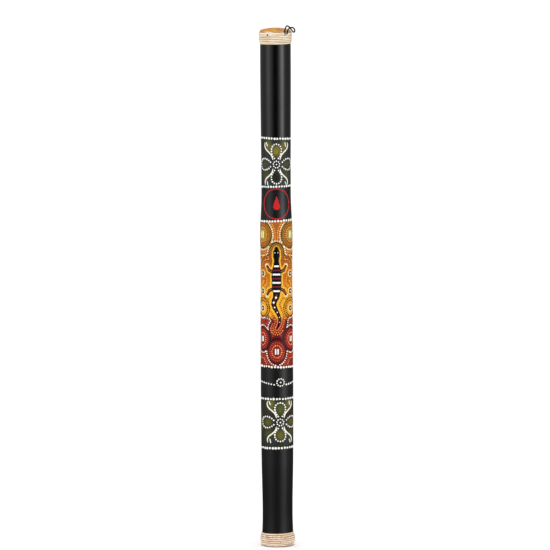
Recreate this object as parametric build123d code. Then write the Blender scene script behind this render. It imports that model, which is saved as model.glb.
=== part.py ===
"""Rainstick: a bamboo tube with a spiral of pegs and a filling of pebbles inside.

Millimetres. +Z runs up the tube's axis, the origin is the centre of the flat base, and
the painted front faces -Y. Azimuths are in degrees, from the front towards +X.
"""
from build123d import *
from math import cos, pi, radians, sin, tan
import os

# Overall
LENGTH = 1000.0  # base to the crown of the top cap
BORE_R = 24.2  # inside of the bamboo
TUBE_BOTTOM = 6.0
TUBE_TOP = 991.0

# Outer surface of the bamboo, as (height, radius): a natural culm, slightly uneven
CULM = [
    (TUBE_BOTTOM, 30.4),
    (18.0, 30.1),
    (45.0, 29.2),
    (140.0, 30.1),
    (240.0, 31.1),
    (400.0, 30.9),
    (560.0, 30.3),
    (634.0, 29.9),
    (660.0, 28.6),
    (700.0, 28.1),
    (800.0, 28.6),
    (937.0, 29.3),
    (TUBE_TOP, 29.2),
]

# The membranes of the culm are drilled out, and leave a low ring on the bore
SEPTUM_HEIGHTS = (328.0, 656.0)
SEPTUM_THICK = 4.0
SEPTUM_R = 23.4

# Pegs, a helix with eight pegs to a turn
PEG_ROWS = 8
PEG_COUNT = 110
PEG_R = 1.5
PEG_TIP_R = 6.0
PEG_ROOT_R = 26.6  # under the filled and painted outer surface
PEG_FIRST = 60.0
PEG_STEP = 8.0
PEG_AZIMUTH = 22.5  # of the first row
HOLE_START_R = 20.0

# End plugs
PLUG_LENGTH = 18.0
PLUG_CHAMFER = 0.6
BOTTOM_PLUG_TOP = TUBE_BOTTOM + PLUG_LENGTH

# Base cap: flat underneath, rounded up to the bamboo
BASE_FLAT_R = 24.0
BASE_RIM_R = 29.0

# Top cap: a shallow dome
DOME_RIM_R = 30.3
DOME_RIM_HEIGHT = 1.8
DOME_SHOULDER = (20.0, LENGTH - 1.9)  # radius and height

# Cane bindings: rows of strand, each row bulging from a common backing
STRAND_BULGE = 1.1
BOTTOM_BINDING = (1.2, 26.7)  # lowest and highest level
TOP_BINDING = (968.6, 991.7)
BOTTOM_ROW_R = (31.2, 33.2, 34.0, 34.0, 33.4, 32.4, 31.2)  # crest of each row, going up
TOP_ROW_R = (30.8, 31.4, 31.8, 32.1, 32.3, 32.5, 32.6)

# Tacks that pin the strand
TACK_HEAD_R = 1.2
TACK_HEAD_HEIGHT = 0.8
TACK_HEAD_ROUND = 0.5
TACK_SHANK_R = 0.45
TACK_LENGTH = 6.0
BOTTOM_TACKS = 14
TOP_TACKS = 4
BOTTOM_TACK_PLACE = (8.0, 31.1, 3.1)  # first azimuth, radius under the head, height
TOP_TACK_PLACE = (62.0, 32.2, 986.8)

# Pebbles: eight stacks, each in a clear lane between two rows of pegs
LANES = 8
STONES = 7
LANE_R = 19.4
LANE_INNER_R = 12.6
STONE = (3.4, 3.1)  # largest radius and half height
STONE_SMALL = (2.5, 2.6)
STONE_GAP = 0.12
LANE_CLEARANCE = 0.3

# Hanging cord: a doubled loop that lies over the rim, both ends under the top binding
CORD_D = 2.4
CORD_ROUTE = [
    (17.9, -25.6, 986.0),
    (18.1, -26.4, 991.5),
    (18.4, -27.0, 997.0),
    (19.6, -26.6, 1002.0),
    (22.4, -24.9, 1004.6),
    (25.6, -22.4, 1003.0),
    (28.4, -19.8, 999.6),
    (30.8, -17.2, 996.2),
    (33.2, -14.4, 993.0),
    (35.3, -11.6, 991.3),
    (36.9, -8.7, 992.4),
    (37.2, -8.2, 995.6),
    (35.9, -10.6, 998.4),
    (33.6, -13.9, 1000.3),
    (31.2, -16.6, 1000.8),
    (27.8, -20.0, 1000.4),
    (24.9, -22.7, 998.2),
    (23.0, -24.0, 993.6),
    (22.0, -23.6, 988.0),
]
CORD_BEND_SHARE = 0.45  # of the shorter run beside a corner


def around(azimuth, radius, height):
    """The point at an azimuth from the front, a radius and a height."""
    turn = radians(azimuth)
    return Vector(radius * sin(turn), -radius * cos(turn), height)


def outline(points):
    """Straight edges through (radius, height) points, in the XZ plane."""
    at = [Vector(r, 0, z) for r, z in points]
    return [Line(a, b) for a, b in zip(at, at[1:])]


def turned(edges):
    """The solid that a closed outline in the XZ plane sweeps about +Z."""
    return revolve(make_face(Wire(edges)), Axis.Z, 360)


def rod(azimuth, inner, outer, height, radius):
    """A round rod that points outwards."""
    plane = Plane(around(azimuth, inner, height), z_dir=around(azimuth, 1.0, 0.0))
    return extrude(plane * Circle(radius), outer - inner)


def peg_heights(row):
    """The levels of one row's pegs."""
    return [PEG_FIRST + PEG_STEP * i for i in range(row, PEG_COUNT, PEG_ROWS)]


def peg_row(row, inner):
    """One row of pegs, one above the other, from the inner radius out into the wall."""
    azimuth = PEG_AZIMUTH + 360.0 / PEG_ROWS * row
    return [rod(azimuth, inner, PEG_ROOT_R, z, PEG_R) for z in peg_heights(row)]


def culm():
    """The bamboo's outer form, not yet bored."""
    skin = Spline(*[Vector(r, 0, z) for z, r in CULM])
    core = outline([(CULM[-1][1], TUBE_TOP), (0, TUBE_TOP), (0, TUBE_BOTTOM), (CULM[0][1], TUBE_BOTTOM)])
    return turned([skin, *core])


def bamboo_tube():
    """The culm, bored out, with the low rings of its membranes and its blind peg holes."""
    bore = Cylinder(BORE_R, LENGTH, align=(Align.CENTER, Align.CENTER, Align.MIN))
    for height in SEPTUM_HEIGHTS:
        ring = Cylinder(BORE_R, SEPTUM_THICK) - Cylinder(SEPTUM_R, SEPTUM_THICK)
        bore -= Pos(0, 0, height) * ring
    tube = culm() - bore
    for row in range(PEG_ROWS):
        tube -= peg_row(row, HOLE_START_R)
    return tube


def plug(low):
    """A turned wooden plug that closes the bore, its edges broken."""
    disc = Cylinder(BORE_R, PLUG_LENGTH, align=(Align.CENTER, Align.CENTER, Align.MIN))
    return Pos(0, 0, low) * chamfer(disc.edges().filter_by(GeomType.CIRCLE), PLUG_CHAMFER)


def bottom_cap():
    """The base: a flat face, a rounded edge and a flat top against the bamboo."""
    edge = ThreePointArc(
        Vector(BASE_FLAT_R, 0, 0),
        Vector(BASE_RIM_R - 1.3, 0, 1.9),
        Vector(BASE_RIM_R, 0, TUBE_BOTTOM),
    )
    inside = outline([(BASE_RIM_R, TUBE_BOTTOM), (0, TUBE_BOTTOM), (0, 0), (BASE_FLAT_R, 0)])
    return turned([edge, *inside])


def top_cap():
    """The dome, with a short upright rim."""
    rim = TUBE_TOP + DOME_RIM_HEIGHT
    crown = Spline(
        Vector(DOME_RIM_R, 0, rim),
        Vector(DOME_SHOULDER[0], 0, DOME_SHOULDER[1]),
        Vector(0, 0, LENGTH),
        tangents=((-0.45, 0, 1), (-1, 0, 0)),
    )
    inside = outline([(0, LENGTH), (0, TUBE_TOP), (DOME_RIM_R, TUBE_TOP), (DOME_RIM_R, rim)])
    return turned([crown, *inside])


def binding(levels, crests):
    """A solid round with one bulging row for each turn of cane."""
    low, high = levels
    pitch = (high - low) / len(crests)
    grooves = [min(pair) - STRAND_BULGE for pair in zip([crests[0], *crests], [*crests, crests[-1]])]
    edges = []
    for i, crest in enumerate(crests):
        foot = low + pitch * i
        edges.append(
            ThreePointArc(
                Vector(grooves[i], 0, foot),
                Vector(crest, 0, foot + pitch / 2),
                Vector(grooves[i + 1], 0, foot + pitch),
            )
        )
    return turned([*edges, *outline([(grooves[-1], high), (0, high), (0, low), (grooves[0], low)])])


def tack():
    """A tack that points down -Z, with the underside of its rounded head at the origin."""
    head = Cylinder(TACK_HEAD_R, TACK_HEAD_HEIGHT, align=(Align.CENTER, Align.CENTER, Align.MIN))
    head = fillet(head.edges().group_by(Axis.Z)[-1], TACK_HEAD_ROUND)
    shank = Cylinder(TACK_SHANK_R, TACK_LENGTH, align=(Align.CENTER, Align.CENTER, Align.MAX))
    return head + shank


def tacks(count, first_azimuth, radius, height):
    """Tacks driven in all round at one level."""
    made = []
    for i in range(count):
        azimuth = first_azimuth + 360.0 / count * i
        seat = Plane(around(azimuth, radius, height), x_dir=(0, 0, 1), z_dir=around(azimuth, 1.0, 0.0))
        made.append(seat.location * tack())
    return Compound(made)


def stone(size, azimuth, radius, height):
    """One pebble: a ball worn flat above and below."""
    wide, tall = size
    return Pos(*around(azimuth, radius, height)) * (Sphere(wide) & Cylinder(wide, 2 * tall))


def pebbles(lane):
    """The stones of one lane: a stack of large ones, and a stack of small ones inside it."""
    azimuth = 360.0 / LANES * lane
    floor = BOTTOM_PLUG_TOP + LANE_CLEARANCE
    stones = []
    for size, radius in ((STONE, LANE_R), (STONE_SMALL, LANE_INNER_R)):
        pitch = 2 * size[1] + STONE_GAP
        stones += [stone(size, azimuth, radius, floor + size[1] + pitch * i) for i in range(STONES)]
    return Compound(stones)


def bend_radii(points):
    """The largest arc at each corner of a route that its two runs allow."""
    radii = []
    for before, corner, after in zip(points, points[1:], points[2:]):
        entry, leave = corner - before, after - corner
        turn = radians(entry.get_angle(leave))
        radii.append(CORD_BEND_SHARE * min(entry.length, leave.length) / tan(turn / 2))
    return radii


def hanging_loop():
    """The cord: one round tube along its whole route."""
    points = [Vector(*point) for point in CORD_ROUTE]
    radii = bend_radii(points)
    path = FilletPolyline(*points, radius=radii)
    tube = sweep(Plane(path @ 0, z_dir=path % 0) * Circle(CORD_D / 2), path=path)
    section = pi * (CORD_D / 2) ** 2
    print("cord radii", [round(r, 1) for r in radii])
    print("cord length", round(path.length, 1), "volume / section", round(tube.volume / section, 1))
    return tube


def build():
    """Every node by name."""
    nodes = {
        "bamboo_tube": bamboo_tube(),
        "bottom_plug": plug(TUBE_BOTTOM),
        "top_plug": plug(TUBE_TOP - PLUG_LENGTH),
        "bottom_cap": bottom_cap(),
        "top_cap": top_cap(),
        "bottom_binding": binding(BOTTOM_BINDING, BOTTOM_ROW_R) - culm() - bottom_cap(),
        "top_binding": binding(TOP_BINDING, TOP_ROW_R) - culm() - top_cap(),
        "bottom_tacks": tacks(BOTTOM_TACKS, *BOTTOM_TACK_PLACE),
        "top_tacks": tacks(TOP_TACKS, *TOP_TACK_PLACE),
        "hanging_loop": hanging_loop(),
    }
    for row in range(PEG_ROWS):
        nodes[f"peg_row_{row + 1}"] = Compound(peg_row(row, PEG_TIP_R))
    for lane in range(LANES):
        nodes[f"pebbles_{lane + 1}"] = pebbles(lane)
    return nodes


os.makedirs("parts", exist_ok=True)
for name, shape in build().items():
    export_step(shape, f"parts/{name}.step")
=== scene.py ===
"""Rainstick: the looks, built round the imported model. Metres, +Z up, painted front facing -Y.

Painted art is laid out in millimetres on the unrolled tube: u runs round to the right from the
front, z runs up, and lift stands off the black paint. The same art is on the front and the back.
"""
import math
import random

import bpy
import numpy as np
from mathutils import Matrix, Vector


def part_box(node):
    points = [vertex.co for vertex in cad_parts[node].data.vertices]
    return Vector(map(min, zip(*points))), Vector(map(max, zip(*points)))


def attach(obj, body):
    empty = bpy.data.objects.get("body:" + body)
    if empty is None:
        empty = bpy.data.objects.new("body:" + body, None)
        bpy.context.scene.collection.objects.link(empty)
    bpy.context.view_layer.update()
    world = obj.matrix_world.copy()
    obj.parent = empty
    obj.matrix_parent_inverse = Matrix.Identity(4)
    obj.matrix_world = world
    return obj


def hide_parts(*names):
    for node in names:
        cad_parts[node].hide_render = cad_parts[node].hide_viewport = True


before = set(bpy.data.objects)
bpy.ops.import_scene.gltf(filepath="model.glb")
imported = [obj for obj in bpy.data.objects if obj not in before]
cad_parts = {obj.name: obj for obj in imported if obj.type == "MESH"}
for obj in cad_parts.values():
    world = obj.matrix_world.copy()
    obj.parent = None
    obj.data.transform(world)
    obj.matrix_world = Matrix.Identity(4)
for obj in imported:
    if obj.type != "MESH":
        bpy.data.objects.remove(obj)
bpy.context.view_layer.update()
STICK = "stick"
MM = 0.001

# ---------- the tube's surface


def read_skin(node, inner):
    """Levels and radii, in mm, of a round node's outside: its vertices beyond the inner radius."""
    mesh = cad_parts[node].data
    co = np.empty(len(mesh.vertices) * 3)
    mesh.vertices.foreach_get("co", co)
    co = co.reshape(-1, 3) / MM
    radius = np.hypot(co[:, 0], co[:, 1])
    keep = radius > inner
    order = np.argsort(co[keep, 2], kind="stable")
    return co[keep, 2][order], radius[keep][order]


BORE_R = 27.3  # mm, past the inside of the wall
LEVELS, RADII = read_skin("bamboo_tube", BORE_R)
REF_R = 30.3  # mm, the radius that u is measured at
HALF_TURN = math.pi * REF_R
COAT = 0.15  # mm, thickness of the black paint


def skin_radius(z):
    return np.interp(z, LEVELS, RADII)


def on_skin(u, z, lift):
    """Points in metres from arrays of u, z and lift."""
    azimuth = np.asarray(u) / REF_R
    radius = skin_radius(z) + COAT + lift
    return np.column_stack([radius * np.sin(azimuth), -radius * np.cos(azimuth), z]) * MM


# ---------- materials


def rgb(hexa):
    """A linear colour from a display colour such as e8cfa4."""
    parts = [int(hexa[i: i + 2], 16) / 255 for i in (0, 2, 4)]
    return tuple(p / 12.92 if p <= 0.04045 else ((p + 0.055) / 1.055) ** 2.4 for p in parts) + (1.0,)


class Nodes:
    """A node tree, with short ways to add nodes. An input is another node's output or a plain value."""

    def __init__(self, tree):
        self.tree = tree

    def feed(self, value, socket):
        if isinstance(value, bpy.types.NodeSocket):
            self.tree.links.new(value, socket)
        else:
            socket.default_value = value

    def node(self, kind, inputs=None, **settings):
        made = self.tree.nodes.new("ShaderNode" + kind)
        for key, value in settings.items():
            setattr(made, key, value)
        for socket, value in (inputs or {}).items():
            self.feed(value, made.inputs[socket])
        return made

    def math(self, operation, *values):
        return self.node("Math", dict(enumerate(values)), operation=operation).outputs[0]

    def apart(self, coordinate):
        """The X, Y and Z outputs of a coordinate."""
        return self.node("SeparateXYZ", {0: self.node("TexCoord").outputs[coordinate]}).outputs

    def stretched(self, vector, scale):
        return self.node("Mapping", {"Vector": vector, "Scale": scale}).outputs["Vector"]

    def place(self, *scale):
        """Object coordinates, stretched by one scale or by one for each axis."""
        return self.stretched(self.node("TexCoord").outputs["Object"], scale if len(scale) == 3 else scale * 3)

    def round_place(self, along, up, out):
        """Coordinates round the axis: azimuth, height and radius, each with its scale per metre."""
        x, y, z = self.apart("Object")
        radius = self.node("VectorMath", {0: self.node("CombineXYZ", {0: x, 1: y}).outputs[0]}, operation="LENGTH")
        joined = self.node("CombineXYZ", {0: self.math("ARCTAN2", x, y), 1: z, 2: radius.outputs["Value"]})
        return self.stretched(joined.outputs[0], (along * REF_R * MM, up, out))

    def noise(self, vector, detail=4.0, rough=0.55):
        inputs = {"Vector": vector, "Scale": 1.0, "Detail": detail, "Roughness": rough}
        return self.node("TexNoise", inputs).outputs["Fac"]

    def ramp(self, value, stops):
        """A colour ramp through (position, colour) stops."""
        made = self.node("ValToRGB", {"Fac": value})
        elements = made.color_ramp.elements
        while len(elements) < len(stops):
            elements.new(0.5)
        for element, (position, colour) in zip(elements, stops):
            element.position = position
            element.color = colour
        return made.outputs["Color"]

    def mix(self, factor, first, second, blend="MIX"):
        """Mixes two colours."""
        return self.node("Mix", {0: factor, 6: first, 7: second}, data_type="RGBA", blend_type=blend).outputs[2]

    def spread(self, value, low, high):
        """Maps a noise value's middle half to low and high."""
        inputs = {"Value": value, "From Min": 0.25, "From Max": 0.75, "To Min": low, "To Max": high}
        return self.node("MapRange", inputs).outputs[0]


class Shader(Nodes):
    """A material with a Principled shader."""

    def __init__(self, name, roughness=0.5, **sockets):
        self.material = bpy.data.materials.new(name)
        self.material.use_nodes = True
        super().__init__(self.material.node_tree)
        self.main = self.tree.nodes["Principled BSDF"]
        self.main.inputs["Roughness"].default_value = roughness
        for socket, value in sockets.items():
            self.main.inputs[socket.replace("_", " ")].default_value = value

    def colour(self, output):
        self.feed(output, self.main.inputs["Base Color"])

    def bump(self, height, strength, distance):
        made = self.node("Bump", {"Height": height, "Strength": strength, "Distance": distance})
        self.feed(made.outputs[0], self.main.inputs["Normal"])
        return self.material

    def texture(self, value, low, high, strength, distance):
        """Roughness from low to high, and bump, from one pattern."""
        self.feed(self.spread(value, low, high), self.main.inputs["Roughness"])
        return self.bump(value, strength, distance)


def black_paint(name, smooth, dark, pale, level):
    """Black over bamboo, from gloss to satin: faint fibre lines along the culm, softer and glossier patches."""
    s = Shader(name, smooth, Specular_IOR_Level=level)
    fibre = s.noise(s.round_place(900, 9, 200), detail=5)
    patch = s.noise(s.round_place(60, 22, 60), detail=3)
    s.colour(s.mix(s.spread(fibre, 0.0, 0.6), rgb(dark), rgb(pale)))
    s.feed(s.spread(patch, smooth - 0.03, smooth + 0.05), s.main.inputs["Roughness"])
    return s.bump(fibre, 0.25, 0.0002)


def art_ground(name, roughness):
    """A painted ground: colours laid on the mesh, broken up by brush streaks and fine speckle."""
    s = Shader(name, roughness, Specular_IOR_Level=0.22)
    laid = s.node("Attribute", attribute_name="ground")
    streak = s.noise(s.round_place(500, 260, 60), detail=6, rough=0.7)
    speck = s.noise(s.place(1500), detail=2)
    dark = s.mix(s.spread(streak, 0.0, 1.0), (0.62, 0.58, 0.52, 1), (1.25, 1.22, 1.2, 1))
    toned = s.mix(1.0, laid.outputs["Color"], dark, "MULTIPLY")
    s.colour(s.mix(s.spread(speck, 0.0, 0.12), toned, rgb("2a1a0c")))
    return s.texture(streak, roughness - 0.08, roughness + 0.1, 0.3, 0.0003)


def raised_paint(name, hexa, shade):
    """Thick dot paint: one colour, a little darker where it is thin."""
    s = Shader("paint_" + name, 0.4, Specular_IOR_Level=0.22)
    cloud = s.noise(s.place(420), detail=4)
    broad = s.noise(s.place(90), detail=2)
    tone = s.mix(s.spread(cloud, 0.0, 0.8), rgb(hexa), rgb(shade))
    s.colour(s.mix(s.spread(broad, 0.0, 0.3), tone, rgb(shade)))
    return s.texture(cloud, 0.33, 0.5, 0.2, 0.0002)


def cane(name, tones, mark_colour, mark_from):
    """Peeled cane: long fibres round the tube, warm and pale patches, stains, and painted shade in the seams between
    the rows.
    """
    s = Shader(name, 0.5, Specular_IOR_Level=0.3)
    fibre = s.noise(s.round_place(60, 2600, 2600), detail=5, rough=0.65)
    blush = s.noise(s.round_place(45, 130, 60), detail=3)
    stain = s.noise(s.round_place(130, 420, 160), detail=5, rough=0.7)
    tone = s.ramp(blush, [(place, rgb(hexa)) for place, hexa in zip((0.30, 0.46, 0.58, 0.72), tones)])
    lined = s.mix(s.spread(fibre, 0.0, 0.3), tone, rgb("d2ac7c"))
    mark = s.ramp(stain, [(mark_from, (0, 0, 0, 1)), (mark_from + 0.08, (1, 1, 1, 1))])
    marked = s.mix(mark, lined, rgb(mark_colour))
    # painted seam shade: where the strand's ground attribute is 0, down between the rows, the cane turns brown 6e4a28
    crest = s.node("Attribute", attribute_name="ground")
    s.colour(s.mix(crest.outputs["Fac"], rgb("6e4a28"), marked))
    return s.texture(fibre, 0.42, 0.62, 0.5, 0.0003)


def amber_wood(name, pale, deep, knot):
    """Stained wood with grain across it, as on the caps."""
    s = Shader(name, 0.4)
    grain = s.noise(s.place(60, 420, 90), detail=6, rough=0.62)
    cloud = s.noise(s.place(48), detail=3)
    tone = s.ramp(grain, [(0.34, rgb(deep)), (0.50, rgb(pale)), (0.66, rgb(pale)), (0.78, rgb(deep))])
    s.colour(s.mix(s.spread(cloud, 0.0, 0.6), tone, rgb(knot)))
    return s.texture(grain, 0.34, 0.52, 0.35, 0.0004)


def plain_grain(name, pale, deep, roughness, scale):
    """A two-tone mottled solid, stretched by a scale for each axis."""
    s = Shader(name, roughness)
    grain = s.noise(s.place(*scale), detail=6, rough=0.65)
    s.colour(s.mix(s.spread(grain, 0.0, 1.0), rgb(pale), rgb(deep)))
    return s.texture(grain, roughness - 0.08, roughness + 0.1, 0.3, 0.0003)


# ---------- mesh building


def link_mesh(name, verts, faces, material, ground=None, crease=None):
    """A mesh object of the stick, from metres: smooth, but for edges sharper than a crease in degrees."""
    mesh = bpy.data.meshes.new(name)
    mesh.from_pydata([tuple(v) for v in verts], [], [tuple(f) for f in faces])
    mesh.materials.append(material)
    if ground is not None:
        layer = mesh.color_attributes.new("ground", "FLOAT_COLOR", "POINT")
        layer.data.foreach_set("color", np.asarray(ground, dtype=np.float32).ravel())
    mesh.polygons.foreach_set("use_smooth", [True] * len(mesh.polygons))
    if crease is not None:
        mesh.set_sharp_from_angle(angle=math.radians(crease))
    mesh.update()
    made = bpy.data.objects.new(name, mesh)
    bpy.context.scene.collection.objects.link(made)
    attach(made, STICK)
    return made


def sleeve(name, low, high, material, slot, colour=None, step=3.0, around=192):
    """A closed skin of paint round the tube between two levels; colour(u, z) lays its ground."""
    rows = max(2, int(round((high - low) / step)) + 1)
    levels = np.linspace(low, high, rows)
    turn = np.arange(around) / around * 2 * HALF_TURN - HALF_TURN
    u, z = np.meshgrid(turn, levels)
    outer = on_skin(u.ravel(), z.ravel(), 0.0)
    inner = on_skin(u.ravel(), z.ravel(), -COAT - 0.25)
    verts = np.vstack([outer, inner])
    inside = rows * around
    faces = []
    for i in range(rows - 1):
        for j in range(around):
            k = (j + 1) % around
            a, b, c, d = i * around + j, i * around + k, (i + 1) * around + k, (i + 1) * around + j
            faces += [(a, b, c, d), (inside + d, inside + c, inside + b, inside + a)]
    top = (rows - 1) * around
    for j in range(around):
        k = (j + 1) % around
        faces.append((inside + j, inside + k, k, j))
        faces.append((top + j, top + k, inside + top + k, inside + top + j))
    ground = None
    if colour is not None:
        laid = colour(u.ravel(), z.ravel())
        ground = np.vstack([laid, laid])
    return link_mesh(name, verts, faces, material, ground, crease=45)


def tube_faces(count, size, closed=False):
    """Faces along count sections of size points: joined into a loop, or capped at both ends."""
    faces = []
    for i in range(count if closed else count - 1):
        k = (i + 1) % count
        for j in range(size):
            m = (j + 1) % size
            faces.append((i * size + j, i * size + m, k * size + m, k * size + j))
    if not closed:
        faces.append(tuple(range(size))[::-1])
        faces.append(tuple((count - 1) * size + j for j in range(size)))
    return faces


def cell_sides(i, j):
    """The four sides of a grid cell, each as two corners and the edge between them (i, j, across)."""
    corners = ((i, j), (i + 1, j), (i + 1, j + 1), (i, j + 1))
    edges = ((i, j, 0), (i + 1, j, 1), (i, j + 1, 0), (i, j, 1))
    return zip(corners, corners[1:] + corners[:1], edges)


def crossing_point(field, us, zs, i, j, across, level=0.0):
    """Where a field passes a level between (i, j) and the next point up (across = 1) or right (0)."""
    a = field[j, i] - level
    b = (field[j + 1, i] if across else field[j, i + 1]) - level
    t = a / (a - b)
    u = us[i] if across else us[i] + t * (us[i + 1] - us[i])
    z = zs[j] + t * (zs[j + 1] - zs[j]) if across else zs[j]
    return u, z


class Paint:
    """Raised paint of one colour: domes, strokes and filled patches, joined in one mesh."""

    def __init__(self, seed=1):
        self.points = []
        self.faces = []
        self.count = 0
        self.chance = random.Random(seed)

    def add(self, points, faces):
        """Points are rows of (u, z, lift)."""
        self.points.append(np.asarray(points, dtype=float))
        self.faces += [tuple(i + self.count for i in face) for face in faces]
        self.count += len(points)

    def dot(self, u, z, radius, height=None, base=0.0, sides=10, uneven=0.1):
        """A dome of paint, a little out of round."""
        height = radius * 0.42 if height is None else height
        wide = radius * (1 + self.chance.uniform(-uneven, uneven))
        tall = radius * (1 + self.chance.uniform(-uneven, uneven))
        shift = self.chance.uniform(0, math.pi)
        rings = ((1.0, -0.06), (0.9, 0.45), (0.55, 0.86))
        points = [(u, z, base + height), (u, z, base - 0.2)]
        for share, rise in rings:
            lift = base + (rise if rise < 0 else rise * height)
            for angle in (shift + 2 * math.pi * i / sides for i in range(sides)):
                points.append((u + wide * share * math.cos(angle), z + tall * share * math.sin(angle), lift))
        faces = []
        for i in range(sides):
            k = (i + 1) % sides
            low, mid, top = 2, 2 + sides, 2 + 2 * sides
            faces += [
                (1, low + k, low + i),
                (low + i, low + k, mid + k, mid + i),
                (mid + i, mid + k, top + k, top + i),
                (0, top + i, top + k),
            ]
        self.add(points, faces)

    def stroke(self, line, width, height=None, base=0.0, closed=False, ends=0.25):
        """A brush stroke along (u, z) points: rounded across, tapered at open ends."""
        line = np.asarray(line, dtype=float)
        count = len(line)
        if count < 2:
            return
        if closed:
            along = np.roll(line, -1, axis=0) - np.roll(line, 1, axis=0)
        else:
            along = np.gradient(line, axis=0)
        along /= np.maximum(np.linalg.norm(along, axis=1), 1e-9)[:, None]
        side = np.column_stack([-along[:, 1], along[:, 0]])
        height = width * 0.2 if height is None else height
        share = np.ones(count)
        if not closed:
            place = np.linspace(0, 1, count)
            near = np.minimum(place, 1 - place) / 0.18
            share = ends + (1 - ends) * np.sqrt(np.clip(near, 0, 1))
        profile = ((-1.0, -0.08), (-0.72, 0.62), (0.0, 1.0), (0.72, 0.62), (1.0, -0.08), (0.0, -0.25))
        points = []
        for i in range(count):
            for across, rise in profile:
                spot = line[i] + side[i] * across * width / 2 * share[i]
                lift = rise if rise < 0 else rise * height * share[i]
                points.append((spot[0], spot[1], base + lift))
        self.add(points, tube_faces(count, len(profile), closed))

    def patch(self, inside, us, zs, height, edge=0.8, base=0.0):
        """Fills where inside (mm within the outline, on a grid) is positive: rounded off at its edge."""
        keys = {}
        points = []
        faces = []

        def corner(i, j):
            key = (0, i, j)
            if key not in keys:
                depth = min(inside[j, i] / edge, 1.0)
                lift = height * math.sqrt(max(0.0, 1 - (1 - depth) ** 2))
                keys[key] = (len(points), len(points) + 1)
                points.append((us[i], zs[j], base + lift))
                points.append((us[i], zs[j], base - 0.2))
            return keys[key]

        def crossing(i, j, across):
            key = (1 + across, i, j)
            if key not in keys:
                keys[key] = (len(points), len(points))
                points.append((*crossing_point(inside, us, zs, i, j, across), base - 0.05))
            return keys[key]

        full = inside > 0
        some = full[:-1, :-1] | full[:-1, 1:] | full[1:, :-1] | full[1:, 1:]
        for j, i in zip(*np.nonzero(some)):
            ring = []
            for (a, b), (c, d), side in cell_sides(i, j):
                if full[b, a]:
                    ring.append(corner(a, b))
                if full[b, a] != full[d, c]:
                    ring.append(crossing(*side))
            if len(ring) > 2:
                faces.append(tuple(r[0] for r in ring))
                faces.append(tuple(r[1] for r in reversed(ring)))
        if points:
            self.add(points, faces)

    def build(self, name, material, slot, twice=True):
        """Lays the paint on the tube, and once more on its back unless it already goes all round."""
        if not self.count:
            return
        flat = np.vstack(self.points)
        verts = on_skin(flat[:, 0], flat[:, 1], flat[:, 2])
        faces = self.faces
        if twice:
            verts = np.vstack([verts, on_skin(flat[:, 0] + HALF_TURN, flat[:, 1], flat[:, 2])])
            faces = faces + [tuple(i + self.count for i in face) for face in faces]
        link_mesh(name, verts, faces, material)


def smooth_line(points, spacing=0.9):
    """A Catmull-Rom curve through given points, with even small steps."""
    points = [np.asarray(p, dtype=float) for p in points]
    held = [2 * points[0] - points[1], *points, 2 * points[-1] - points[-2]]
    line = []
    for a, b, c, d in zip(held, held[1:], held[2:], held[3:]):
        steps = max(2, int(np.linalg.norm(c - b) / spacing))
        for i in range(steps):
            t = i / steps
            square, cube = 2 * a - 5 * b + 4 * c - d, 3 * b - a - 3 * c + d
            line.append(0.5 * (2 * b + (c - a) * t + square * t**2 + cube * t**3))
    line.append(points[-1])
    return np.array(line)


def even_points(line, spacing, closed=False):
    """Places along a line, evenly spaced."""
    line = np.asarray(line, dtype=float)
    if closed:
        line = np.vstack([line, line[:1]])
    runs = np.linalg.norm(np.diff(line, axis=0), axis=1)
    total = runs.sum()
    if total < spacing * 0.8:
        return line[:1]
    count = max(1, int(round(total / spacing)))
    marks = np.linspace(0, total, count + 1)
    if closed:
        marks = marks[:-1]
    length = np.concatenate([[0], np.cumsum(runs)])
    return np.column_stack([np.interp(marks, length, line[:, k]) for k in (0, 1)])


def level_lines(field, us, zs, level):
    """The lines where a field on a grid passes a level, as (points, closed)."""
    high = field > level
    mixed = (high[:-1, :-1] != high[:-1, 1:]) | (high[:-1, 1:] != high[1:, 1:]) | (high[1:, 1:] != high[1:, :-1])
    spots, joins = {}, {}

    def crossing(i, j, across):
        key = (i, j, across)
        if key not in spots:
            spots[key] = crossing_point(field, us, zs, i, j, across, level)
        return key

    for j, i in zip(*np.nonzero(mixed)):
        found = [crossing(*edge) for (a, b), (c, d), edge in cell_sides(i, j) if high[b, a] != high[d, c]]
        for a, b in zip(found[::2], found[1::2]):
            joins.setdefault(a, []).append(b)
            joins.setdefault(b, []).append(a)
    lines, used = [], set()
    starts = [k for k, near in joins.items() if len(near) == 1] + list(joins)
    for start in starts:
        if start in used:
            continue
        chain, here = [start], start
        used.add(start)
        while True:
            ahead = [k for k in joins[here] if k not in used]
            if not ahead:
                break
            here = ahead[0]
            used.add(here)
            chain.append(here)
        closed = len(chain) > 3 and start in joins[here]
        lines.append((np.array([spots[k] for k in chain]), closed))
    return lines


# ---------- cane bindings


CANE_ROWS = 7
BINDING_INNER_R = 28.0  # mm, past the inside of a binding


def row_crests(node):
    """The middle level and the crest radius of each row of a binding, in mm, and the rows' pitch."""
    low, high = (corner.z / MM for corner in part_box(node))
    rows = CANE_ROWS
    levels, radii = read_skin(node, BINDING_INNER_R)
    pitch = (high - low) / rows
    crests = []
    for i in range(rows):
        inside = (levels > low + pitch * i) & (levels < low + pitch * (i + 1))
        crests.append((low + pitch * (i + 0.5), radii[inside].max()))
    return np.array(crests), pitch


STRAND_SECTION = (
    # up, out, and how free of painted shade the cane is there: 0 is painted seam shade down between the rows
    (0.0, 1.0, 1.0), (0.55, 0.86, 1.0), (0.85, 0.48, 0.25), (1.0, 0.0, 0.0), (0.8, -1.0, 0.0),
    (-0.8, -1.0, 0.0), (-1.0, 0.0, 0.0), (-0.85, 0.48, 0.25), (-0.55, 0.86, 1.0),
)


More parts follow.
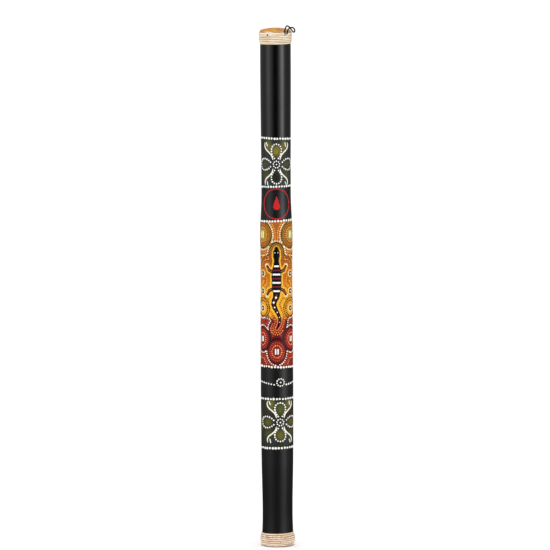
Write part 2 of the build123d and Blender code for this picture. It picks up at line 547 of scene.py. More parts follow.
def strand(name, path, half_height, depth, under, material):
    """A peeled cane strand along (azimuth, level, crest radius) points: rounded outside, flat inside."""
    size = len(STRAND_SECTION)
    verts = []
    for (azimuth, level, crest), half in zip(path, half_height):
        for up, out, _ in STRAND_SECTION:
            radius = crest - depth + (depth if out > 0 else under) * out
            verts.append((radius * math.sin(azimuth) * MM, -radius * math.cos(azimuth) * MM, (level + up * half) * MM))
    faces = [tuple(range(size))]
    for i in range(len(path) - 1):
        for j in range(size):
            m = (j + 1) % size
            faces.append((i * size + j, (i + 1) * size + j, (i + 1) * size + m, i * size + m))
    faces.append(tuple((len(path) - 1) * size + j for j in range(size))[::-1])
    # painted shade: the section's third column, 1 on the crest and 0 down in the seams, goes into the ground attribute
    seam_shade_fac = [(tone, tone, tone, 1.0) for _ in path for _, _, tone in STRAND_SECTION]
    return link_mesh(name, verts, faces, material, ground=seam_shade_fac)


def winding(node, start, material, seed):
    """One long strand wound round an end of the tube, its two ends tucked under their neighbours."""
    crests, pitch = row_crests(node)
    chance = random.Random(seed)
    waves = [(chance.uniform(0.6, 3.4), chance.uniform(0, 6.3)) for _ in range(5)]
    steps, rows = 110, CANE_ROWS
    path, half = [], []
    for i in range(rows * steps + 1):
        turn = i / steps
        level = crests[0, 0] + pitch * (turn - 0.5)
        level = min(max(level, crests[0, 0]), crests[-1, 0])
        ripple = sum(math.sin(2 * math.pi * turn * f + p) for f, p in waves) / len(waves)
        sway = sum(math.cos(2 * math.pi * turn * f * 1.3 + p) for f, p in waves) / len(waves)
        crest = np.interp(level, crests[:, 0], crests[:, 1]) + 0.22 * ripple - 0.15
        tuck = max(0.0, 0.12 - min(turn, rows - turn)) / 0.12
        azimuth = start + 2 * math.pi * turn
        path.append((azimuth, level + 0.22 * sway * (1 - tuck), crest - 1.0 * tuck))
        half.append(pitch * (0.52 + 0.05 * ripple))
    return strand(f"{node}_strand", path, half, 1.35, 1.6, material)


def tucked_end(name, node, azimuths, row_places, material):
    """A short end of cane that crosses the rows on its way under them."""
    crests, pitch = row_crests(node)
    path, half = [], []
    steps = 26
    for i in range(steps + 1):
        t = i / steps
        place = row_places[0] + (row_places[1] - row_places[0]) * smooth_step(t, 0, 1)
        level = crests[0, 0] + pitch * place
        crest = np.interp(level, crests[:, 0], crests[:, 1])
        lift = 0.75 * math.sin(math.pi * t) ** 0.5 - 0.35
        path.append((math.radians(azimuths[0] + (azimuths[1] - azimuths[0]) * t), level, crest + lift))
        half.append(1.25 * (0.55 + 0.45 * math.sin(math.pi * t) ** 0.5))
    return strand(name, path, half, 1.0, 0.4, material)


# ---------- dot rings and flowers

RING_LEVELS = (193.0, 288.5, 350.3, 631.5, 697.3, 789.5)
BASE, WAIST_LOW, WARM_LOW, WARM_HIGH, EMBLEM_HIGH, CROWN = RING_LEVELS
RING_TILTS = (0.5, 0.4, -0.9, 1.3, 0.8, -1.0)  # mm that each ring rises on the right
RING_DOTS = 33
RING_DOT_R = 2.3
WAIST_ROSETTE = (6.8, 320.5)
LINE_LEVEL = 315.5


def ring_of_dots(paint, level, tilt, first):
    """White dots all round the tube, uneven by hand."""
    chance = random.Random(int(level))
    for i in range(RING_DOTS):
        u = 2 * HALF_TURN * (i + first + chance.uniform(-0.07, 0.07)) / RING_DOTS - HALF_TURN
        z = level + tilt * math.sin(u / REF_R) + chance.uniform(-0.35, 0.35)
        paint.dot(u, z, RING_DOT_R * chance.uniform(0.86, 1.08), height=0.8, sides=12, uneven=0.07)


def ellipse(u, z, wide, tall, step):
    """Points round an ellipse, one for each step of so many degrees."""
    turn = np.radians(np.arange(0, 360, step))
    return np.column_stack([u + wide * np.cos(turn), z + tall * np.sin(turn)])


def rosette(white, black, u, z, ring_r, count, centre_r, disc_r):
    """A centre dot on a black disc inside a ring of dots."""
    black.dot(u, z, disc_r, height=0.25, sides=20, uneven=0.02)
    white.dot(u, z, centre_r, height=0.95, base=0.1, sides=12)
    for i in range(count):
        angle = 2 * math.pi * (i + 0.3) / count
        white.dot(u + ring_r * math.cos(angle), z + ring_r * math.sin(angle), 1.5, height=0.6)


def petal(paint, u, z, angle, middle, half_length, half_width, spacing, dot_r):
    """A petal's dotted outline, open towards the flower's centre, wider at its outer end."""
    sweep = np.radians(np.linspace(-152, 152, 60))
    across = half_width * np.sin(sweep) * (1 + 0.16 * np.cos(sweep))
    out = middle + half_length * np.cos(sweep)
    cos, sin = math.cos(math.radians(angle)), math.sin(math.radians(angle))
    line = np.column_stack([out * cos - across * sin, out * sin + across * cos])
    for du, dz in even_points(line, spacing):
        paint.dot(u + du, z + dz, dot_r * paint.chance.uniform(0.88, 1.1), height=0.6)


CURL = [(7.2, 8.5), (9.6, 16.5), (15.5, 23.0), (22.5, 28.6), (25.8, 35.0), (25.2, 42.0)]
INNER_CURLS = ([(18.0, 34.5), (20.6, 38.0), (22.0, 43.0)], [(20.5, 33.5), (19.4, 38.5), (18.6, 42.5)])


def flower(white, cream, black, u, z, reach_up, reach_down):
    """Four dotted petals round a rosette, with curling strokes between them."""
    rosette(white, black, u, z, 6.4, 9, 1.6, 4.7)
    for angle, reach, half_width in ((90, reach_up, 10.2), (270, reach_down, 10.6)):
        petal(white, u, z, angle, (reach + 10.0) / 2, (reach - 10.0) / 2, half_width, 4.9, 1.75)
    for angle in (0, 180):
        petal(white, u, z, angle, 25.0, 14.2, 10.8, 4.9, 1.7)
    for right in (-1, 1):
        for up, scale in ((1, reach_up / 39.0), (-1, reach_down / 39.0)):
            for curl, width, height in ((CURL, 2.7, 0.6), (INNER_CURLS[right * up > 0], 2.2, 0.5)):
                line = [(u + right * a, z + up * b * scale) for a, b in curl]
                cream.stroke(smooth_line(line), width, height=height)


def wrapped(u, centre):
    return (u - centre + HALF_TURN / 2) % HALF_TURN - HALF_TURN / 2


def laid_over(ground, hexa, amount):
    """A ground, as rows of linear colours, with another colour over it by an amount from 0 to 1."""
    return ground + (np.array(rgb(hexa)[:3]) - ground) * np.clip(amount, 0, 1)[:, None]


def plain_ground(u, hexa):
    return np.tile(np.array(rgb(hexa)[:3]), (len(u), 1))


def blend_spots(u, z, base, spots):
    """A ground colour with soft-edged spots of other colours: (u, z, radius across, radius up, colour)."""
    laid = plain_ground(u, base)
    for cu, cz, wide, tall, hexa in spots:
        near = np.exp(-((wrapped(u, cu) / wide) ** 2 + ((z - cz) / tall) ** 2) ** 1.3)
        laid = laid_over(laid, hexa, near)
    return np.column_stack([laid, np.ones(len(u))])


HIGH_FLOWER = (1.0, 740.0)
LOW_FLOWER = (5.9, 243.0)


def mottled_ground(u, z, centre, base, above, beside, below):
    """Dark ground, olive inside the petals, softly mottled between them, the same on both sides."""
    cu, cz = centre
    spots = [(cu, cz + 26, 8, 10, above), (cu, cz - 25, 8, 10, below)]
    for side in (-1, 1):
        spots += [(cu + side * 25, cz, 9, 7, beside), (cu + side * 46, cz, 7, 18, "565624")]
        spots += [(cu + side * 17, cz + 35, 7, 11, "6c682a"), (cu + side * 23, cz - 23, 9, 11, "484c26")]
        spots += [(cu + side * 17, cz - 37, 8, 7, "2a3a42")]
    return blend_spots(u, z, base, spots)


def high_ground(u, z):
    return mottled_ground(u, z, HIGH_FLOWER, "2c3132", "8a8228", "464a34", "22240e")


def low_ground(u, z):
    return mottled_ground(u, z, LOW_FLOWER, "2a2d22", "575e1e", "5c5e1e", "6a661c")


# ---------- the warm panel: fields

PANEL = (WARM_LOW, WARM_HIGH)
TILE = HALF_TURN  # the art repeats on the back
GRID_STEP = 0.65
PAD = 7.0
US = np.arange(-TILE / 2 - PAD, TILE / 2 + PAD, GRID_STEP)
ZS = np.arange(PANEL[0] - 3, PANEL[1] + 3, GRID_STEP)
RED_LEVEL = 446.0  # amber above, red below


def smooth_step(x, low, high):
    t = np.clip((x - low) / (high - low), 0, 1)
    return t * t * (3 - 2 * t)


def oval(u, z, centre, core, stretch):
    """Distance outside an oval of half width core and half height core / stretch."""
    return np.hypot(wrapped(u, centre[0]), (z - centre[1]) * stretch) - core


def chain(u, z, links):
    """Distance outside a chain of tapered capsules through (u, z, radius) points."""
    best = np.full(np.shape(u), 1e6)
    for (u0, z0, r0), (u1, z1, r1) in zip(links, links[1:]):
        du, dz = wrapped(u, u0), z - z0
        lu, lz = u1 - u0, z1 - z0
        t = np.clip((du * lu + dz * lz) / (lu * lu + lz * lz), 0, 1)
        best = join(best, np.hypot(du - t * lu, dz - t * lz) - (r0 + t * (r1 - r0)), 1.6)
    return best


def join(first, second, soft=2.2):
    """The smaller of two distances, with the corner between them filled in."""
    blend = np.clip(0.5 + 0.5 * (second - first) / soft, 0, 1)
    return second * (1 - blend) + first * blend - soft * blend * (1 - blend)


TAIL_TOP, TAIL_TIP = 492.0, 424.0


def tail_link(t):
    """The tail from its root, t = 0, to its tip, t = 1: one even wave, thinning steadily."""
    sway = -6.0 * math.sin(2 * math.pi * t) * smooth_step(t, 0.0, 0.3)
    return sway, TAIL_TOP + t * (TAIL_TIP - TAIL_TOP), 6.2 - 5.2 * t


SPINE = [
    (0.0, z, r)
    for z, r in (
        (579.0, 3.0), (572.0, 5.6), (564.0, 5.8), (556.0, 4.4), (548.0, 5.4), (538.0, 7.8), (524.0, 9.4), (510.0, 9.2),
        (499.0, 7.8), (490.0, 6.2),
    )
]
TAIL = [tail_link(i / 10) for i in range(11)]
LEGS = [
    [(side * 6.0, root, 3.1), (side * 14.5, root + 0.35 * rise, 2.8), (side * 19.0, root + rise, 2.2)]
    for side in (-1, 1) for root, rise in ((533.0, 12.0), (502.0, -12.0))
]


def lizard(u, z):
    best = join(chain(u, z, SPINE), chain(u, z, TAIL))
    for leg in LEGS:
        best = join(best, chain(u, z, leg), 1.4)
    return best


GRID_U, GRID_Z = np.meshgrid(US, ZS)
LIZARD = lizard(GRID_U, GRID_Z)

SIDE = TILE / 3  # the lizard and a column of ovals on each side share the width evenly
# Each oval: its core, how far its field reaches past the core, and its row colours from the core out
HIGH_OVAL = {"core": 10.5, "stretch": 0.85, "reach": 13.5, "rows": ("gold", "orange", "ochre", "ochre")}
LOW_OVAL = {"core": 7.5, "stretch": 0.76, "reach": 11.5, "rows": ("salmon", "brick", "rust")}
EYE_OVAL = {"core": 7.0, "stretch": 0.88, "reach": 8.5, "rows": ("gold", "orange")}
OVAL_PLACES = (
    (HIGH_OVAL, -SIDE, 605.0), (HIGH_OVAL, SIDE, 605.0), (LOW_OVAL, 0.0, 380.0), (LOW_OVAL, -SIDE, 404.0),
    (LOW_OVAL, SIDE, 404.0), (EYE_OVAL, -SIDE, 463.0), (EYE_OVAL, SIDE, 463.0),
)
OVALS = [dict(kind, at=(u, z)) for kind, u, z in OVAL_PLACES]
EYES = [(side * SIDE, z) for z in (530.0, 496.0, 463.0) for side in (-1, 1)]
EYE_R = 3.2
EYE_STRETCH = 1.1


def lizard_reach(z):
    """How far the lizard's field goes: an arch over its head, the whole width beside it, a tongue below."""
    beside = 60.0 * smooth_step(-z, -568.0, -554.0) * smooth_step(z, 442.0, 456.0)
    return 10.5 + 3.5 * smooth_step(-z, -456.0, -442.0) + beside


TONGUE = [(0.0, 426.0, 2.0), (0.0, 404.0, 3.4)]  # the lizard's field runs on past its tail
FIELDS = [np.minimum(LIZARD, chain(GRID_U, GRID_Z, TONGUE)) - lizard_reach(GRID_Z)]
FIELDS += [oval(GRID_U, GRID_Z, o["at"], o["core"], o["stretch"]) - o["reach"] for o in OVALS]
GAP = np.min(FIELDS, axis=0)  # above 0 where no field reaches


def margins():
    """How deep each point lies in each field: the ovals share what they reach, the lizard has the rest."""
    ovals = FIELDS[1:]
    inside = [np.minimum(-FIELDS[0], np.min(ovals, axis=0))]
    for i, own in enumerate(ovals):
        others = np.min([field for j, field in enumerate(ovals) if j != i], axis=0)
        inside.append(np.minimum(-own, (others - own) / 2))
    return inside


MARGINS = margins()
EYE_FIELDS = [oval(GRID_U, GRID_Z, at, EYE_R, EYE_STRETCH) for at in EYES[:4]]
FREE = np.min(EYE_FIELDS, axis=0) - 8.2  # above 0 clear of the eyes


def sample(field, u, z):
    """A grid field read at points."""
    i = np.clip((np.asarray(u) - US[0]) / GRID_STEP, 0, len(US) - 1.001)
    j = np.clip((np.asarray(z) - ZS[0]) / GRID_STEP, 0, len(ZS) - 1.001)
    i0, j0 = i.astype(int), j.astype(int)
    fi, fj = i - i0, j - j0
    low = field[j0, i0] * (1 - fi) + field[j0, i0 + 1] * fi
    high = field[j0 + 1, i0] * (1 - fi) + field[j0 + 1, i0 + 1] * fi
    return low * (1 - fj) + high * fj


def in_tile(u, z):
    return -TILE / 2 <= u < TILE / 2 and PANEL[0] + 3.2 < z < PANEL[1] - 3.2


def warm_ground(u, z):
    """Amber with yellow round the lizard, turning red near the bottom; dark ribbons where fields meet."""
    u = wrapped(u, 0.0)
    inside = np.max([sample(m, u, z) for m in MARGINS], axis=0)
    liz = sample(LIZARD, u, z)
    low = smooth_step(z, RED_LEVEL - 8, RED_LEVEL + 7)
    laid = plain_ground(u, "9c4408")

    def over(hexa, amount):
        nonlocal laid
        laid = laid_over(laid, hexa, amount)

    over("c06808", 0.9 * smooth_step(-z, -560, -530))
    over("f0a410", smooth_step(-z, -528, -490))
    over("8c5a12", 0.85 * smooth_step(z, 566, 588))
    over("a07a20", 0.9 * (1 - smooth_step(inside, 3.0, 6.0)) * smooth_step(z, 535, 570))
    over("841006", 1 - low)
    over("a4280a", (1 - low) * smooth_step(inside, 6.0, 9.5) * 0.7)
    over("5c0614", (1 - low) * (1 - smooth_step(inside, 3.0, 4.6)))
    over("1c0208", (1 - low) * (1 - smooth_step(inside, 0.7, 1.5)))
    over("b8641c", smooth_step(-inside, 0.0, 0.6) * low)
    over("86200e", smooth_step(-inside, 0.0, 0.6) * (1 - low))
    for o in OVALS[:5]:
        core = smooth_step(-oval(u, z, o["at"], o["core"], o["stretch"]), -1.0, 1.2)
        over("a8942a" if o["at"][1] > RED_LEVEL else "7c0c14", core)
    halo = 0.95 * np.clip(1.3 - np.abs(liz - 1.2) / 2.2, 0, 1)
    over("fbc02c", halo * smooth_step(z, 436, 452) * smooth_step(-z, -586, -560))
    for at in EYES:
        around = oval(u, z, at, EYE_R, EYE_STRETCH)
        over("ffe68c", 0.95 * (1 - smooth_step(around, 3.2, 5.8)))
    return np.column_stack([laid, np.ones(len(u))])


# ---------- the warm panel: dots

PANEL_COLOURS = {
    "gold": ("ffb84a", "e08a1c", "paint_yellow"),
    "ochre": ("c08a2c", "8a6418", "paint_amber"),
    "yellow": ("ffd84a", "f2b020", "paint_yellow"),
    "orange": ("ee8420", "c05c0c", "paint_amber"),
    "salmon": ("ffa070", "ec6c3c", "paint_salmon"),
    "brick": ("e05428", "a8300f", "paint_red"),
    "rust": ("b0581c", "7c300c", "paint_red"),
    "cream": ("fff8dc", "f0e4b4", "paint_white"),
    "blush": ("fff2e8", "f2d4c8", "paint_white"),
    "bark": ("2e2608", "1c1606", "paint_olive"),
    "umber": ("8a5410", "5c3408", "paint_olive"),
    "olive": ("8c8a2c", "5c5a18", "paint_olive"),
}
ROW_PITCH = 4.2
DOT_SPACING = 4.2
DOT_R = 1.42
LIZARD_ROWS = (
    # down to this level, the row colours from the lizard out
    (545.0, ("yellow", "ochre", "gold", "ochre")),
    (508.0, ("yellow", "orange", "gold", "umber")),
    (RED_LEVEL, ("yellow", "umber")),
    (0.0, ("salmon", "gold", "salmon", "brick")),
)


def lay_row(paint, field, level, spacing, radius, keep, shift=0.14):
    """A row of dots along a level line."""
    for line, closed in level_lines(field, US, ZS, level):
        if len(line) < 4:
            continue
        for u, z in even_points(line, spacing, closed):
            u += paint.chance.uniform(-shift, shift)
            z += paint.chance.uniform(-shift, shift)
            if in_tile(u, z) and keep(u, z):
                paint.dot(u, z, radius * paint.chance.uniform(0.84, 1.12), sides=9)


def deep_enough(margin, u, z):
    """Clear of the dark dots or, in the red, of the dark ribbon."""
    return sample(margin, u, z) > (3.6 if z > RED_LEVEL else 4.6)


def panel_dots(paints):
    """Rows of dots round every core, dark dots where fields meet, and pale dots round the gaps."""
    for row in range(13):
        high = PANEL[1]
        for low, names in LIZARD_ROWS:

            def keep(u, z):
                return low < z <= high and deep_enough(MARGINS[0], u, z) and sample(FREE, u, z) > 0

            close = row == 0
            lay_row(
                paints[names[row % len(names)]], LIZARD, 2.0 + ROW_PITCH * row, 3.0 if close else DOT_SPACING,
                1.2 if close else DOT_R if row % 2 == 0 else 1.2, keep,
            )
            high = low
    for index, o in enumerate(OVALS):
        margin = MARGINS[index + 1]
        for row, name in enumerate(o["rows"]):
            lay_row(
                paints[name], FIELDS[index + 1] + o["reach"], 1.7 + ROW_PITCH * row, DOT_SPACING,
                1.55 if row == 0 else DOT_R, lambda u, z: deep_enough(margin, u, z),
            )
    for field in EYE_FIELDS:
        lay_row(paints["orange"], field, 6.9, 3.8, 1.3, lambda u, z: sample(MARGINS[0], u, z) > 3.0)
    for margin in MARGINS:
        lay_row(paints["bark"], margin, 2.1, 4.1, 1.6, lambda u, z: z > RED_LEVEL - 3, shift=0.05)
    rows = ((1.2, "cream", "blush", 1.6, 4.3), (5.3, "gold", "brick", 1.4, 4.2), (9.3, "olive", "salmon", 1.4, 4.2))
    for level, above, below, radius, spacing in rows:
        lay_row(paints[above], GAP, level, spacing, radius, lambda u, z: z > RED_LEVEL)
        lay_row(paints[below], GAP, level, spacing, radius, lambda u, z: z <= RED_LEVEL)


def twin_strokes(paint, u, z, gap, length, width):
    """Two short pale strokes side by side."""
    for side in (-1, 1):
        line = [(u + side * gap, z - length / 2), (u + side * gap * 0.95, z), (u + side * gap, z + length / 2)]
        paint.stroke(smooth_line(line, 0.7), width, height=0.5, ends=0.6)


def panel_marks(paints, black, white):
    """A pair of pale strokes in each oval, and the small black eyes."""
    for o in OVALS[:2]:
        twin_strokes(paints["cream"], *o["at"], 2.8, 14.0, 3.4)
    for o in OVALS[2:5]:
        twin_strokes(white, *o["at"], 2.4, 11.0, 3.0)
    for u, z in EYES:
        black.stroke(ellipse(u, z, EYE_R, 3.4, 15), 3.4, height=0.3, closed=True)
        white.dot(u, z, 1.8, height=0.5, base=0.1, sides=10)


# ---------- the lizard

FINE_US = np.arange(-27.0, 27.0, 0.5)
FINE_ZS = np.arange(416.0, 588.0, 0.5)
BANDS = np.linspace(545.0, 497.0, 7)


def lizard_paint(black, white, maroon, brick, cream):
    """A plain lizard: a mirror-symmetrical black body with even cross bands, and a dotted tail in one even wave."""
    u, z = np.meshgrid(FINE_US, FINE_ZS)
    black.patch(-lizard(u, z), FINE_US, FINE_ZS, 0.45, edge=0.9)
    trunk = -chain(u, z, SPINE)
    for i, level in enumerate(BANDS):
        band = np.minimum(trunk - 1.5, 1.75 - np.abs(z - level))
        (white, maroon)[i % 2].patch(band, FINE_US, FINE_ZS, 0.25, edge=0.5, base=0.42)
    for i in range(12):
        at_u, at_z, radius = tail_link(0.04 + 0.07 * i)
        (maroon, white)[i % 2].dot(at_u, at_z, 0.42 * radius, height=0.3, base=0.4, sides=10)
    for leg in LEGS:
        points = [(a, b) for a, b, _ in leg]
        brick.stroke(smooth_line(points, 0.6)[3:-3], 2.0, height=0.3, base=0.38)
        foot, knee = np.array(points[-1]), np.array(points[-2])
        ahead = math.atan2(foot[1] - knee[1], foot[0] - knee[0])
        for spread in (-1.1, -0.55, 0.0, 0.55, 1.1):
            angle = ahead + spread
            reach = np.array([math.cos(angle), math.sin(angle)])
            start, tip = foot + 2.0 * reach, foot + 6.0 * reach
            cream.stroke(smooth_line([start, (start + tip) / 2, tip], 0.6), 1.3, height=0.3, ends=0.5)
    for side in (-1, 1):
        white.dot(side * 2.8, 571.0, 1.0, height=0.3, base=0.4, sides=10)


# ---------- the emblem


EMBLEM = (0.8, 664.6)


def emblem(red, u, z):
    """A thin ring round one raindrop."""
    red.stroke(ellipse(u, z, 29.0, 28.6, 4), 2.1, height=0.45, closed=True)
    us = np.arange(u - 12, u + 12, 0.45)
    zs = np.arange(z - 16, z + 18, 0.45)
    gu, gz = np.meshgrid(us, zs)
    drop = [(u, z - 5.0, 7.0), (u, z + 3.5, 4.2), (u, z + 14.0, 0.5)]
    red.patch(-chain(gu, gz, drop), us, zs, 0.5, edge=1.0)


# ---------- the cord

CORD_DIAMETER = 2.4 * MM
CORD_ROUTE = [
    (0.0179, -0.0256, 0.9860), (0.0181, -0.0264, 0.9915), (0.0184, -0.0270, 0.9970), (0.0196, -0.0266, 1.0020),
    (0.0224, -0.0249, 1.0046), (0.0256, -0.0224, 1.0030), (0.0284, -0.0198, 0.9996), (0.0308, -0.0172, 0.9962),
    (0.0332, -0.0144, 0.9930), (0.0353, -0.0116, 0.9913), (0.0369, -0.0087, 0.9924), (0.0372, -0.0082, 0.9956),
    (0.0359, -0.0106, 0.9984), (0.0336, -0.0139, 1.0003), (0.0312, -0.0166, 1.0008), (0.0278, -0.0200, 1.0004),
    (0.0249, -0.0227, 0.9982), (0.0230, -0.0240, 0.9936), (0.0220, -0.0236, 0.9880),
]
CORD_PLIES = 3
CORD_TWIST = 5.0 * MM  # length of one whole turn of the plies


def cord_line():
    """The cord's centreline: the NURBS curve that the route's points control."""
    curve = bpy.data.curves.new("cord_line", "CURVE")
    curve.dimensions = "3D"
    curve.resolution_u = 8
    spline = curve.splines.new("NURBS")
    spline.points.add(len(CORD_ROUTE) - 1)
    for point, place in zip(spline.points, CORD_ROUTE):
        point.co = (*place, 1.0)
    spline.order_u = 3
    spline.use_endpoint_u = True
    holder = bpy.data.objects.new("cord_line", curve)
    mesh = bpy.data.meshes.new_from_object(holder)
    line = [v.co.copy() for v in mesh.vertices]
    bpy.data.objects.remove(holder)
    return line


def carried_frames(line):
    """Two crosswise directions at each point, carried along without twisting."""
    side = Vector((1, 0, 0))
    frames = []
    for i in range(len(line)):
        ahead = (line[min(i + 1, len(line) - 1)] - line[max(i - 1, 0)]).normalized()
        side = (side - ahead * side.dot(ahead)).normalized()
        frames.append((side, ahead.cross(side)))
    return frames


def hanging_cord():
    """Twisted black cord along the route's curve: a rope section with a lobe for each ply."""
    line = cord_line()
    frames = carried_frames(line)
    run = [0.0]
    for a, b in zip(line, line[1:]):
        run.append(run[-1] + (b - a).length)
    sides = 24
    verts = []
    for point, (across, over), length in zip(line, frames, run):
        for i in range(sides):
            angle = 2 * math.pi * i / sides
            lobe = math.cos(CORD_PLIES * (angle - 2 * math.pi * length / CORD_TWIST))
            radius = CORD_DIAMETER / 2 * (1.04 + 0.12 * lobe)
            verts.append(point + (across * math.cos(angle) + over * math.sin(angle)) * radius)
    s = Shader("cord_black", 0.6, Specular_IOR_Level=0.15)
    fibre = s.noise(s.place(2600), detail=3)
    s.colour(s.mix(s.spread(fibre, 0.0, 1.0), rgb("020203"), rgb("080809")))
    s.bump(fibre, 0.35, 0.0001)
    made = link_mesh("cord", verts, tube_faces(len(line), sides), s.material)
    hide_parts("hanging_loop")


# ---------- the CAD nodes' own materials


RAW_SOLIDS = (
    # material, pale, deep, roughness, scale, nodes
    ("raw_bamboo", "d9bd84", "b8935a", 0.5, (900, 900, 26), ["bamboo_tube"]),
    ("split_bamboo", "dcc08a", "b99058", 0.55, (700, 700, 700), [f"peg_row_{i}" for i in range(1, 9)]),
    ("plug_wood", "c9a06a", "9a7040", 0.6, (320, 60, 320), ["bottom_plug", "top_plug"]),
    ("river_stone", "8f8a82", "5d5852", 0.45, (380, 380, 380), [f"pebbles_{i}" for i in range(1, 9)]),
    ("browned_steel", "4a3018", "23160a", 0.35, (900, 900, 900), ["bottom_tacks", "top_tacks"]),
)


def finish_nodes():
    """Materials of the solids that stay as they are."""
    finished = [(plain_grain(*look), nodes) for *look, nodes in RAW_SOLIDS]
    finished.append((amber_wood("cap_under", "c89a5c", "94642c", "6e4a22"), ["bottom_cap"]))
    finished.append((top_cap_wood(), ["top_cap"]))
    for material, nodes in finished:
        for node in nodes:
            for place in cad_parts[node].material_slots:
                place.material = material


def top_cap_wood():
    """Amber stained wood: orange on the left, golden in the middle, pink and paler on the right."""
    s = Shader("cap_over", 0.42)
    cloud = s.noise(s.place(70), detail=4)
    across = s.node("MapRange", {"Value": s.apart("Object")["X"], "From Min": -REF_R * MM, "From Max": REF_R * MM})
    drift = s.math("MULTIPLY_ADD", cloud, 0.34, across.outputs[0])
    stops = [
        (0.22, rgb("c98a3c")), (0.36, rgb("ec9838")), (0.50, rgb("d99a44")), (0.66, rgb("d8a63c")),
        (0.76, rgb("c2862c")), (0.84, rgb("d69070")), (0.98, rgb("cfa24c")), (1.0, rgb("d9b06a")),
    ]
    tone = s.ramp(drift, stops)
    grain = s.noise(s.place(90, 620, 120), detail=6, rough=0.66)
    s.colour(s.mix(s.spread(grain, 0.0, 0.5), tone, rgb("9a6424")))
    return s.texture(grain, 0.34, 0.52, 0.35, 0.0004)


# ---------- putting the stick together

COATS = (
    # name, from, to
    ("coat_base", 21.0, BASE),
    ("coat_waist", WAIST_LOW, WARM_LOW),
    ("coat_emblem", WARM_HIGH, EMBLEM_HIGH),
    ("coat_top", CROWN, 974.0),
)


def lay_coats():
    """Black paint, and the painted grounds of the three art bands."""
    satin = black_paint("black_satin", 0.38, "050606", "0e0e0f", 0.5)
    gloss = black_paint("black_gloss", 0.2, "010101", "060606", 0.5)
    for name, low, high in COATS:
        sleeve(name, low, high, gloss if name == "coat_top" else satin, "painted_bamboo")
    flower_ground = art_ground("flower_ground", 0.42)
    sleeve("ground_low", BASE, WAIST_LOW, flower_ground, "paint_olive", low_ground, step=1.5)
    sleeve("ground_high", EMBLEM_HIGH, CROWN, flower_ground, "paint_olive", high_ground, step=1.5)
    sleeve("ground_warm", *PANEL, art_ground("warm_ground", 0.42), "paint_amber", warm_ground, step=1.25)


def bind_ends():
    """Cane wound round each end, in place of the plain bindings."""
    pale = cane("cane_pale", ("fffaf0", "fbf0da", "f4e0be", "efd0b0"), "b08450", 0.62)
    pink = cane("cane_pink", ("fdf0e4", "f8e2ce", "f0d2b2", "e8bca4"), "6e4424", 0.57)
    top = winding("top_binding", math.radians(150), pale, 4)
    bottom = winding("bottom_binding", math.radians(-140), pink, 9)
    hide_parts("top_binding")
    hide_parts("bottom_binding")
    tucked_end("top_tuck_1", "top_binding", (-30, 2), (6.9, 6.1), pale)
    tucked_end("top_tuck_2", "top_binding", (-38, -12), (6.9, 5.4), pale)
    tucked_end("bottom_tuck_1", "bottom_binding", (-60, -18), (5.2, 3.6), pink)
    tucked_end("bottom_tuck_2", "bottom_binding", (34, 66), (1.0, 2.3), pink)


def paint_art():
    """All the raised paint."""
    white_paint = raised_paint("white", "fdfcf8", "efece4")
    rings = Paint(1)
    for number, (level, tilt) in enumerate(zip(RING_LEVELS, RING_TILTS)):
        ring_of_dots(rings, level, tilt, 0.4 * number)
    rings.build("ring_dots", white_paint, "paint_white", twice=False)

    white, cream, black, maroon, brick, red = (Paint(seed) for seed in range(2, 8))
    waist_line(white, black)
    flower(white, cream, black, *HIGH_FLOWER, 39.0, 37.0)
    flower(white, cream, black, *LOW_FLOWER, 38.0, 37.0)
    paints = {name: Paint(20 + i) for i, name in enumerate(PANEL_COLOURS)}
    panel_dots(paints)
    panel_marks(paints, black, white)
    lizard_paint(black, white, maroon, brick, cream)
    emblem(red, *EMBLEM)
    white.build("white_dots", white_paint, "paint_white")
    for paint, name, colour, pale, deep, slot in (
        (cream, "cream_strokes", "cream", "fdfcf4", "f2ecd4", "paint_white"),
        (black, "black_strokes", "black", "050507", "0c0a0c", "paint_black"),
        (maroon, "maroon_strokes", "maroon", "861a28", "5c101c", "paint_red"),
        (brick, "leg_strokes", "leg_red", "c8603c", "a03c20", "paint_red"),
        (red, "emblem_red", "emblem", "d61c22", "ac1218", "paint_red"),
    ):
        paint.build(name, raised_paint(colour, pale, deep), slot)
    for name, (pale, deep, slot) in PANEL_COLOURS.items():
        paints[name].build("panel_" + name, raised_paint(name, pale, deep), slot)


def waist_line(white, black):
    """A sagging line of dots round the black waist, broken by a rosette."""
    u, z = WAIST_ROSETTE
    rosette(white, black, u, z, 7.0, 10, 1.5, 4.7)
    pitch, clear = 5.5, 11.5
    count = int((HALF_TURN - 2 * clear) / pitch)
    for i in range(count + 1):
        across = clear + i * pitch
        sag = 5.0 * (1 - math.cos(2 * math.pi * (across / HALF_TURN))) / 2
        white.dot(u + across, LINE_LEVEL + sag, 1.8 * white.chance.uniform(0.85, 1.1))


# ---------- camera, light and floor

FOCAL = 34.05  # mm of lens for each metre between the camera and its aim
CAMERA_AWAY = 7.54
CAMERA_HEIGHT = 1.33
AIM = Vector((-0.0029, 0.0, 0.5249))
ROLL = math.radians(-0.28)
SENSOR = 36.0


def set_camera():
    """A long lens from the front, a little above the stick's top."""
    data = bpy.data.cameras.new("camera")
    data.sensor_width = SENSOR
    camera = bpy.data.objects.new("camera", data)
    bpy.context.scene.collection.objects.link(camera)
    camera.location = (AIM.x, -CAMERA_AWAY, CAMERA_HEIGHT)
    line = AIM - camera.location
    data.lens = FOCAL * line.length
    turn = line.to_track_quat("-Z", "Y").to_matrix().to_4x4() @ Matrix.Rotation(ROLL, 4, "Z")
    camera.matrix_world = Matrix.Translation(camera.location) @ turn
    bpy.context.scene.camera = camera


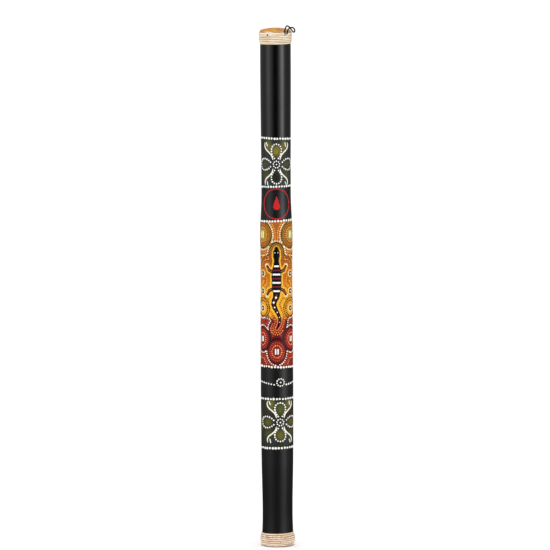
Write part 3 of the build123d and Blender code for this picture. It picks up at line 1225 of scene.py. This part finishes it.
# what the gloss sees round the stick, as (azimuth from the front, strength): two soft boxes, dim walls, a dark front
GLOSS_ROUND = (
    (-180, 0.2), (-125, 0.34), (-86, 0.5), (-72, 1.0), (-58, 1.9), (-42, 1.2), (-20, 0.24), (-9, 0.02),
    (7, 0.02), (18, 0.25), (32, 1.4), (46, 4.0), (58, 4.4), (64, 1.3), (82, 0.5), (110, 0.26), (180, 0.2),
)
GLOSS_MOST = 4.4


def set_light():
    """A white tent for plain light, and tall soft boxes that only the gloss sees."""
    scene = bpy.context.scene
    scene.view_settings.view_transform = "Standard"
    world = bpy.data.worlds.new("studio")
    scene.world = world
    world.use_nodes = True
    world.cycles.sampling_method = "NONE"
    tree = Nodes(world.node_tree)
    world.node_tree.nodes.clear()
    x, y, z = tree.apart("Generated")
    azimuth = tree.math("MULTIPLY", tree.math("ARCTAN2", x, tree.math("MULTIPLY", y, -1.0)), 180 / math.pi)
    stops = [(angle / 360 + 0.5, (strength / GLOSS_MOST,) * 3 + (1,)) for angle, strength in GLOSS_ROUND]
    boxes = tree.ramp(tree.math("MULTIPLY_ADD", azimuth, 1 / 360, 0.5), stops)
    inputs = {"Value": z, "From Min": -0.2, "From Max": -0.05, "To Min": 0.24}
    rise = tree.node("MapRange", inputs, interpolation_type="SMOOTHSTEP").outputs[0]
    gloss = tree.math("MULTIPLY", tree.math("MULTIPLY", boxes, GLOSS_MOST), rise)
    tent = tree.math("MULTIPLY_ADD", z, 0.2, 1.1)
    seen = tree.node("Mix", {0: tree.node("LightPath").outputs["Is Glossy Ray"], 2: tent, 3: gloss})
    light = tree.node("Background", {"Color": (1, 1, 1, 1), "Strength": seen.outputs[0]})
    tree.node("OutputWorld", {"Surface": light.outputs[0]})


def set_floor():
    """A plain pale round floor; to glossy rays it shows only a faint glow, a painted dark reflection."""
    mesh = bpy.data.meshes.new("floor")
    sides, radius = 96, 1.6
    turns = [2 * math.pi * i / sides for i in range(sides)]
    ring = [(radius * math.cos(turn), radius * math.sin(turn), 0) for turn in turns]
    mesh.from_pydata(ring, [], [tuple(range(sides))])
    s = Shader("floor", 0.9, Specular_IOR_Level=0.0)
    s.main.inputs["Base Color"].default_value = (0.93, 0.93, 0.93, 1)
    # painted reflection: glossy rays see this faint glow in place of the pale floor, so the stick reflects a dark
    # floor
    dark_reflection_glow = s.node("Emission", {"Strength": 0.04})
    glossy = s.node("LightPath").outputs["Is Glossy Ray"]
    choose = s.node("MixShader", {0: glossy, 1: s.main.outputs[0], 2: dark_reflection_glow.outputs[0]})
    s.feed(choose.outputs[0], s.tree.nodes["Material Output"].inputs["Surface"])
    mesh.materials.append(s.material)
    floor = bpy.data.objects.new("floor", mesh)
    bpy.context.scene.collection.objects.link(floor)


set_camera()
set_light()
set_floor()
hanging_cord()
finish_nodes()
lay_coats()
bind_ends()
paint_art()
